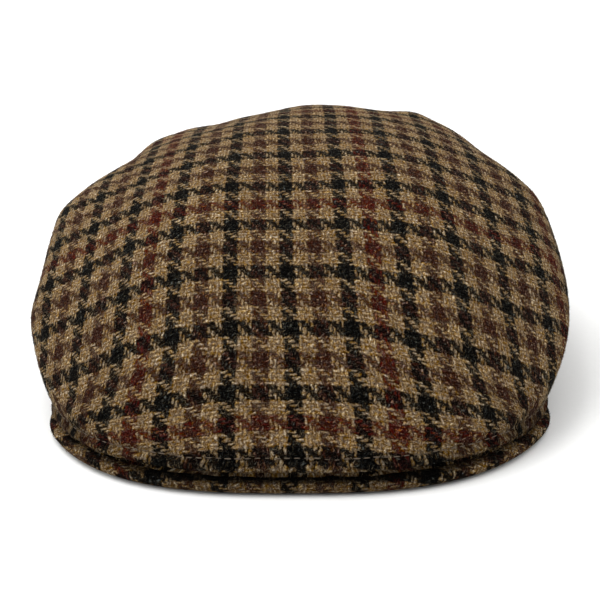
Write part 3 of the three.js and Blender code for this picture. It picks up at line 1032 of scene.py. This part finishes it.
def into_seam(points, turn, skin):
    """Draws the top of a side panel into the crown, which closes the seam, as a shift of each point."""
    turns = np.arange(turn.min() + SEAM_STEP / 2, turn.max(), SEAM_STEP)
    tops = []
    pulls = []
    for angle in turns:
        near = points[np.abs(turn - angle) < SEAM_STEP]
        top = near[np.argmax(near[:, 2])]
        rim, _, _, gap = skin.find_nearest(top)
        tops.append(top[2])
        pulls.append((np.array(rim) - top) * (1 + SEAM_OVERLAP / gap))

    pull = np.stack([np.interp(turn, turns, column) for column in np.array(pulls).T], axis=1)
    below = np.interp(turn, turns, tops) - points[:, 2]
    return pull * (1 - np.clip(below / SEAM_REACH, 0, 1))[:, None]


def side_panel(node, skin, material):
    """A side panel: its cloth runs level round the hem, and its end at the centre back is square."""
    shape = merged_copy(node)
    crease = shape.edges.layers.float.new("crease_edge")
    for edge in shape.edges:
        if all(abs(corner.co.x) < BACK_SEAM * MM and corner.co.y > 0 for corner in edge.verts):
            edge[crease] = 1.0
    mesh = subdivided(shape)
    points = points_of(mesh)
    turn = back_turn(points)
    put_map(mesh, "cloth", -turn * plan_radius(points).mean(), -points[:, 2])
    above_hem = np.clip(points[:, 2] / HEM_CALM, 0, 1)[:, None]
    points = points + dents(points) + waves(points) * above_hem
    put_points(mesh, points + into_seam(points, turn, skin))
    return place_piece(node + "_cloth", mesh, material, node)


def peak(material):
    """The stiff peak."""
    mesh = subdivided(merged_copy("peak"))
    points = points_of(mesh)
    turns, radii, heights = outermost(points)
    radii = radii - PEAK_EDGE_RADIUS
    turn = plan_turn(points)
    rim = np.interp(turn, turns, radii)
    past = plan_radius(points) - rim
    above = points[:, 2] - np.interp(turn, turns, heights)
    rolled = PEAK_EDGE_RADIUS * np.arctan2(past, above)
    underneath = math.pi * PEAK_EDGE_RADIUS - past
    fold = np.where(past > 0, rolled, np.where(above > 0, past, underneath))
    front = np.interp(0, turns, radii) + math.pi / 2 * PEAK_EDGE_RADIUS
    across = (rim + fold) * np.sin(turn)
    along = (rim + fold) * np.cos(turn) - front
    put_map(mesh, "cloth", (across - PEAK_COLUMN) * PEAK_STRETCH, along + PEAK_ROW)
    # the rim map holds the distance round the edge, which places the crease's painted shade
    put_map(mesh, "rim", fold, turn)
    return place_piece("peak_cloth", mesh, material, "peak")


def add_camera():
    """The camera, at the photograph's angle."""
    data = bpy.data.cameras.new("camera")
    data.lens = CAMERA_LENS
    data.clip_start = CAMERA_NEAR * MM
    camera = bpy.data.objects.new("camera", data)
    bpy.context.scene.collection.objects.link(camera)
    level = math.cos(CAMERA_ELEVATION)
    back = Vector(
        (math.sin(CAMERA_AZIMUTH) * level, -math.cos(CAMERA_AZIMUTH) * level, math.sin(CAMERA_ELEVATION))
    )
    right = Vector((math.cos(CAMERA_AZIMUTH), math.sin(CAMERA_AZIMUTH), 0))
    up = back.cross(right)
    tilted_right = right * math.cos(CAMERA_ROLL) + up * math.sin(CAMERA_ROLL)
    tilted_up = up * math.cos(CAMERA_ROLL) - right * math.sin(CAMERA_ROLL)
    turn = Matrix((tilted_right, tilted_up, back)).transposed()
    eye = (Vector(CAMERA_TARGET) + back * CAMERA_DISTANCE) * MM
    camera.matrix_world = Matrix.Translation(eye) @ turn.to_4x4()
    bpy.context.scene.camera = camera


def add_light(name, place, aim, size, power):
    """A square soft light, in metres and watts."""
    data = bpy.data.lights.new(name, "AREA")
    data.size = size
    data.energy = power
    light = bpy.data.objects.new(name, data)
    bpy.context.scene.collection.objects.link(light)
    light.location = place
    light.rotation_euler = (Vector(aim) - Vector(place)).to_track_quat("-Z", "Y").to_euler()


def add_studio():
    """The floor, the sky and the lights."""
    shape = bmesh.new()
    bmesh.ops.create_grid(shape, x_segments=1, y_segments=1, size=FLOOR_HALF)
    mesh = bpy.data.meshes.new("floor")
    shape.to_mesh(mesh)
    shape.free()
    mesh.materials.append(floor_finish())
    floor = bpy.data.objects.new("floor", mesh)
    bpy.context.scene.collection.objects.link(floor)
    world = bpy.data.worlds.new("studio")
    world.use_nodes = True
    nodes = Nodes(world.node_tree)
    _, _, height = nodes.parts(nodes.node("ShaderNodeTexCoord", {}, {}, "Generated"))
    background = world.node_tree.nodes["Background"]
    nodes.feed(background.inputs["Color"], WHITE)
    nodes.feed(background.inputs["Strength"], height.between(*HORIZON_REACH).span(1, SKY_LEVEL))
    bpy.context.scene.world = world
    for light in LIGHTS:
        add_light(**light)


noise.seed_set(WAVE_SEED)
add_camera()
add_studio()

# the crown's tweed and its loose wool carry the lip's painted shade
crown, lip = crown_top(tweed_finish("crown tweed", painted_lip_shade))
crown_skin = skin_of(crown.data)
lip_stitches(crown_skin, lip, thread_finish())
crown_wool = fibre_finish("crown loose wool", WOOL_LEVEL, painted_lip_shade)
for number in range(FIBRE_PIECES):
    name = f"crown_fibres_{number + 1}"
    loose_fibres(name, crown.data, FIBRES_IN_PIECE, CROWN_SEED + number, crown_wool)

side_tweed = tweed_finish("side tweed")
side_wool = fibre_finish("side loose wool", WOOL_LEVEL)
left = side_panel("side_panel_left", crown_skin, side_tweed)
right = side_panel("side_panel_right", crown_skin, side_tweed)
# the peak's tweed and its loose wool carry the peak's painted shade
visor = peak(tweed_finish("peak tweed", painted_peak_shade))
loose_fibres("side_panel_left_fibres", left.data, SIDE_FIBRES, LEFT_SEED, side_wool)
loose_fibres("side_panel_right_fibres", right.data, SIDE_FIBRES, RIGHT_SEED, side_wool)
peak_wool = fibre_finish("peak loose wool", PEAK_WOOL_LEVEL, painted_peak_shade)
loose_fibres("peak_fibres", visor.data, PEAK_FIBRES, PEAK_SEED, peak_wool)

bpy.context.scene.view_settings.view_transform = "Standard"
